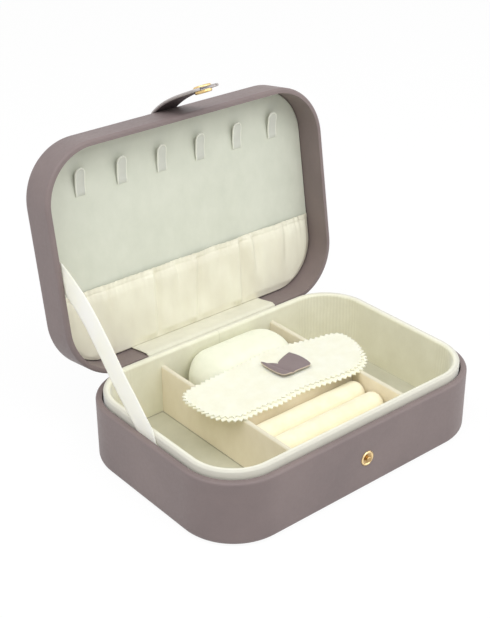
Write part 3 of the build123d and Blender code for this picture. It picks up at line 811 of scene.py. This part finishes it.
def strap_piece(name, path, rounded_at):
    """Band with painted edges swept along a path, its corners rounded at one end."""
    out_of_face = beside(unit(np.gradient(path, axis=0)))
    half = strap_width / 2
    thick = strap_thickness / 2
    # x as a share of the half width, side, and material: inside 0 (leatherette darkened as painted
    # shade), outside 1, painted edge 2
    edge = [(0.87, 1, 0), (0.93, 1, 2), (0.985, 0.7, 2), (1, 0.15, 2)]
    right = edge + [(x, -side, kind or 1) for x, side, kind in reversed(edge)]
    flat_in = [(-0.5, 1, 0), (0, 1, 0), (0.5, 1, 0)]
    flat_out = [(0.5, -1, 1), (0, -1, 1), (-0.5, -1, 1)]
    left = [(-x, side, kind) for x, side, kind in reversed(right)]
    profile = flat_in + right + flat_out + left
    sides = len(profile)
    rows = len(path)
    to_end = np.linalg.norm(path - rounded_at, axis=1)
    vertices = []
    for j in range(rows):
        width = rounded_end(half, strap_corner, to_end[j])
        for x, side, _ in profile:
            y, z = path[j] - out_of_face[j] * side * thick
            vertices.append((x * width, y, z))
    obj = add_object(name, vertices, tube_faces(rows, sides, clockwise=True),
                     [strap_underside_shade, leatherette, edge_paint])
    index = []
    for j in range(rows - 1):
        for i in range(sides):
            index.append(2 if 2 in (profile[i][2], profile[(i + 1) % sides][2]) else profile[i][2])
    index += [2, 2]
    obj.data.polygons.foreach_set("material_index", index)
    return obj


def make_strap():
    """Strap in two pieces, parted halfway between the swing and the bend."""
    path, lead = strap_path()
    along = (path - swing_axis) @ root_way
    split = lead + int(np.argmin(abs(along[lead:] - root_length * 0.5)))
    upper = strap_piece("strap_leather_root", path[:split + 1], rounded_at=path[0])
    lower = strap_piece("strap_leather_end", path[split:], rounded_at=path[-1])
    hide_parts("strap_anchor", "strap_root")
    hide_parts("strap_end")
    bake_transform(upper)
    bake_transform(lower)


# ------------ pouch
def pouch_height(x, y):
    """Rise of the soft pouch over the dividers and the pillow, sinking past them."""
    over_left = smoothstep(-45, -57, x)
    over_right = smoothstep(47, 62, x)
    over_front = smoothstep(-15, -22, y)
    wave = 0.35 * rough(x, y, 0, 30, 2.2) + 0.12 * rough(x, y, 0, 9, 1.1)
    crown = 0.7 * math.exp(-((x - 3) / 34) ** 2) * smoothstep(-12, 12, y)
    return wave + crown - 0.9 * over_left + 0.5 * over_right - 0.6 * over_front


def pinked_edge(outline, phase):
    """Zigzag edge of a felt sheet, and the plain curve that it runs along."""
    _, length = curve_through(outline, 8, closed=True)
    edge, _ = curve_through(outline, 2 * round(length / tooth_pitch), closed=True)
    inward = beside(unit(np.roll(edge, -1, axis=0) - np.roll(edge, 1, axis=0)))
    cut = tooth_depth * ((np.arange(len(edge)) + phase) % 2)
    return edge + inward * cut[:, None], edge


def inside(outline, points):
    """Which points lie inside a closed outline."""
    x, y = points[:, 0, None], points[:, 1, None]
    x0, y0 = outline.T
    x1, y1 = np.roll(outline, -1, axis=0).T
    crossing = ((y0 > y) != (y1 > y)) & (x < (x1 - x0) * (y - y0) / (y1 - y0 + 1e-12) + x0)
    return crossing.sum(axis=1) % 2 == 1


def felt_layer(name, outline, z, phase):
    """Felt sheet with a pinked edge, following what lies under it; its flat size and area."""
    rim, edge = pinked_edge(outline, phase)
    low, high = edge.min(axis=0), edge.max(axis=0)
    grid = np.stack(np.meshgrid(np.arange(low[0], high[0], felt_grid),
                                np.arange(low[1], high[1], felt_grid)), -1).reshape(-1, 2)
    clear = np.linalg.norm(grid[:, None] - edge[None], axis=2).min(axis=1)
    grid = grid[inside(edge, grid) & (clear > tooth_depth + 1.0)]
    flat = [Vector(point) for point in np.concatenate([rim, grid])]
    flat, _, faces = delaunay_2d_cdt(flat, [], [list(range(len(rim)))], 1, 1e-6)[:3]
    vertices = [(x, y, z + pouch_height(x, y)) for x, y in flat]
    obj = add_object(name, vertices, faces, [felt])
    thicken(obj, felt_thickness, even=False)
    keep_edges_sharp(obj, 60)
    ahead = np.roll(edge, -1, axis=0)
    area = 0.5 * abs(np.sum(edge[:, 0] * ahead[:, 1] - ahead[:, 0] * edge[:, 1]))
    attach(obj, "base_body")
    return obj, (high - low) * MM, area * MM * MM


def make_pouch():
    """Two layers of felt, the upper one set back at the front, with its teeth out of step."""
    lower, size, area = felt_layer("pouch_felt_back", pouch_outline, lower_felt_z, 0)
    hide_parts("pouch_back")
    tuple(size)
    outline = []
    for x, y in pouch_outline:
        front = smoothstep(10, -14, y)
        outline.append((x * flap_width_share, y + flap_setback * front - 0.3 * (1 - front)))
    upper, size, area = felt_layer("pouch_felt_flap", outline, upper_felt_z, 1)
    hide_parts("pouch_flap")
    tuple(size)


def make_tab():
    """Leather closing tab: bowed sides, two points at the back, its front lifting off the felt."""
    rows, columns = 24, 30

    def place(v, u):
        bow = math.sin(math.pi * v) ** 0.8
        corner = 1.2 * max(1 - v / 0.09, 0) ** 2
        left = tab_left + 1.2 - 0.6 * v - 1.3 * bow + corner
        right = tab_right - 2.0 + 0.3 * (1 - v) + 2.0 * bow - corner
        x = left + (right - left) * u
        if x < tab_notch_x:
            point_x, point_y, bend = tab_left, tab_back, 0.85
        else:
            point_x, point_y, bend = tab_right, tab_back - 0.8, 0.65
        share = (x - tab_notch_x) / (point_x - tab_notch_x)
        back = tab_notch_y + (point_y - tab_notch_y) * share ** bend
        y = tab_front + (back - tab_front) * v
        front_lift = 1.5 * (1 - v) ** 2 * (1 - 0.5 * u)
        left_lift = 1.0 * smoothstep(6, -2, x) * v
        fold = 0.6 * math.exp(-((x - tab_notch_x + 0.25 * (y - tab_front)) / 1.1) ** 2)
        return x, y, tab_z + pouch_height(x, y) + (front_lift + left_lift) - fold

    points = points_of(place, np.linspace(0, 1, rows), np.linspace(0, 1, columns))
    obj = grid_object("pouch_leather_tab", points, [tab_leather, raw_edge])
    thicken(obj, tab_thickness, rim_material=1)
    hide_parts("pouch_tab")
    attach(obj, "base_body")


# ------------ pillow
def pillow_top(x, y):
    """Highest the pillow may reach: under the pouch, fuller behind it, low at its left end."""
    left_slope = end_slope * smoothstep(end_run, 0, x - pillow_left) ** 1.5
    swell = pillow_swell * smoothstep(swell_from, swell_to, y)
    return divider_top - pillow_gap + swell - left_slope


def rounded_plan(half, corner, turn):
    """Point of a rounded rectangle's edge, at a share of the way round."""
    corner = max(corner, 0.5)
    straight = 2 * (half - corner)
    arc = math.pi * corner / 2
    along = turn * (2 * straight.sum() + 4 * arc)
    for quarter in range(4):
        across = quarter % 2
        side, reach, spread = straight[1 - across], half[across], half[1 - across]
        if along <= side:
            point = (reach, -(spread - corner) + along)
            return turned(point, quarter * math.pi / 2)
        along -= side
        if along <= arc:
            a = along / corner
            point = (reach - corner + corner * math.cos(a), spread - corner + corner * math.sin(a))
            return turned(point, quarter * math.pi / 2)
        along -= arc
    return np.array([half[0], -(half[1] - corner)])


def make_pillow():
    """Squarish stuffed pillow: rounded rim, nearly flat top and bottom."""
    low = cushion_low[2]
    front, back = cushion_low[1] + pillow_gap, cushion_high[1] - pillow_gap
    centre = np.array([pillow_left + pillow_right, front + back]) / 2
    half = np.array([pillow_right - pillow_left, back - front]) / 2
    columns = 80
    # inset from the side and drop from the top: round the rim, then flat to the middle
    side = [(pillow_round * (1 - math.cos(angle)), pillow_round * (math.sin(angle) - 1))
            for angle in np.linspace(0, math.pi / 2, 9)]
    side += [(pillow_round + share * (half.min() - pillow_round - 1.0), 0.0)
             for share in np.linspace(0, 1, 9)[1:]]
    rings = [(inset, drop, False) for inset, drop in reversed(side)]
    rings += [(inset, drop, True) for inset, drop in side]
    vertices = []
    for inset, drop, upper in rings:
        for i in range(columns):
            x, y = centre + rounded_plan(half - inset, pillow_corner - inset * 0.8, i / columns)
            z = pillow_top(x, y) - 0.4 + drop if upper else low + 0.8 - drop
            vertices.append((x, y, z))
    obj = add_object("pillow_cushion", vertices, tube_faces(len(rings), columns),
                     [pillow_cloth])
    inflate(obj, voxel=3.0, cap=1.6)
    settle_pillow(obj, low)
    subdivide(obj)
    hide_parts("cushion")
    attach(obj, "base_body")


def inflate(obj, voxel, cap):
    """Cloth under pressure, with no gravity, its movement capped, applied to the mesh."""
    bpy.context.view_layer.objects.active = obj
    obj.select_set(True)
    remesh = obj.modifiers.new("remesh", "REMESH")
    remesh.mode = "VOXEL"
    remesh.voxel_size = voxel * MM
    bpy.ops.object.modifier_apply(modifier="remesh")
    rest = np.array([v.co for v in obj.data.vertices])
    cloth = obj.modifiers.new("cloth", "CLOTH")
    cloth.settings.use_pressure = True
    cloth.settings.uniform_pressure_force = 4
    cloth.settings.quality = 6
    cloth.settings.effector_weights.gravity = 0
    scene = bpy.context.scene
    last_frame = 20
    for number in range(1, last_frame + 1):
        scene.frame_set(number)
    bpy.ops.object.modifier_apply(modifier="cloth")
    scene.frame_set(1)
    moved = np.array([v.co for v in obj.data.vertices]) - rest
    size = np.linalg.norm(moved, axis=1)
    scale = np.minimum(1, cap * MM / np.maximum(size, 1e-9))
    placed = rest + moved * scale[:, None]
    obj.data.vertices.foreach_set("co", placed.ravel())
    obj.data.polygons.foreach_set("use_smooth", [True] * len(obj.data.polygons))
    obj.data.update()
    obj.select_set(False)


def settle_pillow(obj, low):
    """Keeps the pillow inside its bay and under the pouch, and adds slight dents."""
    for vertex in obj.data.vertices:
        x, y, z = vertex.co / MM
        long_dent = 0.5 * math.exp(-((y - 33 - 0.05 * x) / 2.5) ** 2)
        z += 0.4 * rough(x, y, z, 18, 0.6) - long_dent
        x = min(max(x, cushion_low[0]), cushion_high[0])
        y = min(max(y, cushion_low[1]), cushion_high[1] + 0.3)
        roof = pillow_top(x, y)
        if z > roof:
            z = roof + 0.15 * (z - roof)
        z = max(z, low)
        vertex.co = Vector((x, y, z)) * MM
    obj.data.update()


# ------------ ring rolls
def make_roll(label, number):
    """Velour roll with softly rounded ends and a slightly uneven surface."""
    low, high = limits("ring_roll_" + label)
    radius = (high[2] - low[2]) / 2
    middle_y, middle_z = (low[1] + high[1]) / 2, (low[2] + high[2]) / 2
    end_corner = 5.0
    rows, columns = 60, 48
    vertices = []
    for j in range(rows):
        share = -math.cos(math.pi * j / (rows - 1))
        x = (low[0] + high[0]) / 2 + share * (high[0] - low[0]) / 2
        ring = rounded_end(radius, end_corner, min(x - low[0], high[0] - x))
        for i in range(columns):
            turn = 2 * math.pi * i / columns
            r = ring - 0.12 * (1 + rough(x, turn * 5 + number * 20, 0, 11))
            vertices.append((x, middle_y + r * math.cos(turn), middle_z + r * math.sin(turn)))
    obj = add_object("velour_roll_" + label, vertices, tube_faces(rows, columns),
                     [roll_velour])
    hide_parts("ring_roll_" + label)
    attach(obj, "base_body")


make_pocket()
for hook_number in range(hook_count):
    make_hook(hook_number)
make_ribbon(make_ribbon_fold())
make_hinge_strip()
make_strap()
make_pouch()
make_tab()
make_pillow()
for roll_number, roll_label in enumerate(("rear", "middle", "front")):
    make_roll(roll_label, roll_number)


# ------------ studio
def seen_directly(tree):
    """One for rays that look, by a mirror or through glass too, zero for those that light."""
    rays = tree.nodes.new("ShaderNodeLightPath")
    seen = rays.outputs["Is Camera Ray"]
    for kind in ("Is Glossy Ray", "Is Transmission Ray"):
        either = tree.nodes.new("ShaderNodeMath")
        either.operation = "MAXIMUM"
        tree.links.new(seen, either.inputs[0])
        tree.links.new(rays.outputs[kind], either.inputs[1])
        seen = either.outputs[0]
    return seen


def make_floor():
    """White floor that glows where it is looked at, and keeps a tenth for its shadow."""
    half = 3.0
    mesh = bpy.data.meshes.new("floor")
    mesh.from_pydata([(-half, -half, 0), (half, -half, 0), (half, half, 0), (-half, half, 0)],
                     [], [(0, 1, 2, 3)])
    floor = new_object("floor", mesh)
    finish = Finish("floor_white", roughness=0.9, specular=0.1)
    set_inputs(finish.shader, Base_Color=(0.80, 0.80, 0.80, 1))
    glow = finish.node("ShaderNodeEmission")
    set_inputs(glow, Strength=1.03)
    share = finish.product(seen_directly(finish.tree), 0.9)
    mix = finish.node("ShaderNodeMixShader")
    sources = (share, finish.shader.outputs[0], glow.outputs[0])
    for source, socket in zip(sources, mix.inputs):
        finish.link(source, socket)
    finish.link(mix.outputs[0], finish.tree.nodes["Material Output"].inputs["Surface"])
    mesh.materials.append(finish.material)


def aim(obj, place, target, roll=0.0):
    obj.location = place
    obj.rotation_mode = "QUATERNION"
    way = Vector(target) - Vector(place)
    obj.rotation_quaternion = way.to_track_quat("-Z", "Y") @ Quaternion((0, 0, 1), roll)


def make_lamp(name, place, size, power):
    """Soft square lamp aimed at the middle of the case."""
    data = bpy.data.lights.new(name, "AREA")
    data.size = size
    data.energy = power
    aim(new_object(name, data), place, target=(0.0, 0.02, 0.06))


def make_world():
    """Even white light, weaker than the white that is seen behind the case."""
    world = bpy.data.worlds.new("studio")
    bpy.context.scene.world = world
    world.use_nodes = True
    tree = world.node_tree
    background = tree.nodes["Background"]
    set_inputs(background, Color=(1.0, 1.0, 1.0, 1))
    strength = tree.nodes.new("ShaderNodeMapRange")
    set_inputs(strength, To_Min=0.51, To_Max=1.0)
    tree.links.new(seen_directly(tree), strength.inputs["Value"])
    tree.links.new(strength.outputs["Result"], background.inputs["Strength"])


def make_camera():
    """Camera fitted to the photograph's outlines."""
    focal_pixels = 1260.32
    long_side = 618             # of the photograph, in pixels
    data = bpy.data.cameras.new("camera")
    data.sensor_width = 36
    data.lens = focal_pixels * data.sensor_width / long_side
    camera = new_object("camera", data)
    aim(camera, place=(-0.41190, -0.46278, 0.41725), target=(-0.02910, 0.0, 0.09473),
        roll=math.radians(-0.357))
    bpy.context.scene.camera = camera


make_floor()
make_world()
make_camera()
make_lamp("key", (0.1, -0.85, 1.15), size=0.9, power=6.6)
make_lamp("top", (-0.6, -0.05, 1.1), size=1.0, power=7.2)
make_lamp("fill", (0.9, -0.6, 0.6), size=1.0, power=2.9)
bpy.context.scene.view_settings.view_transform = "Standard"
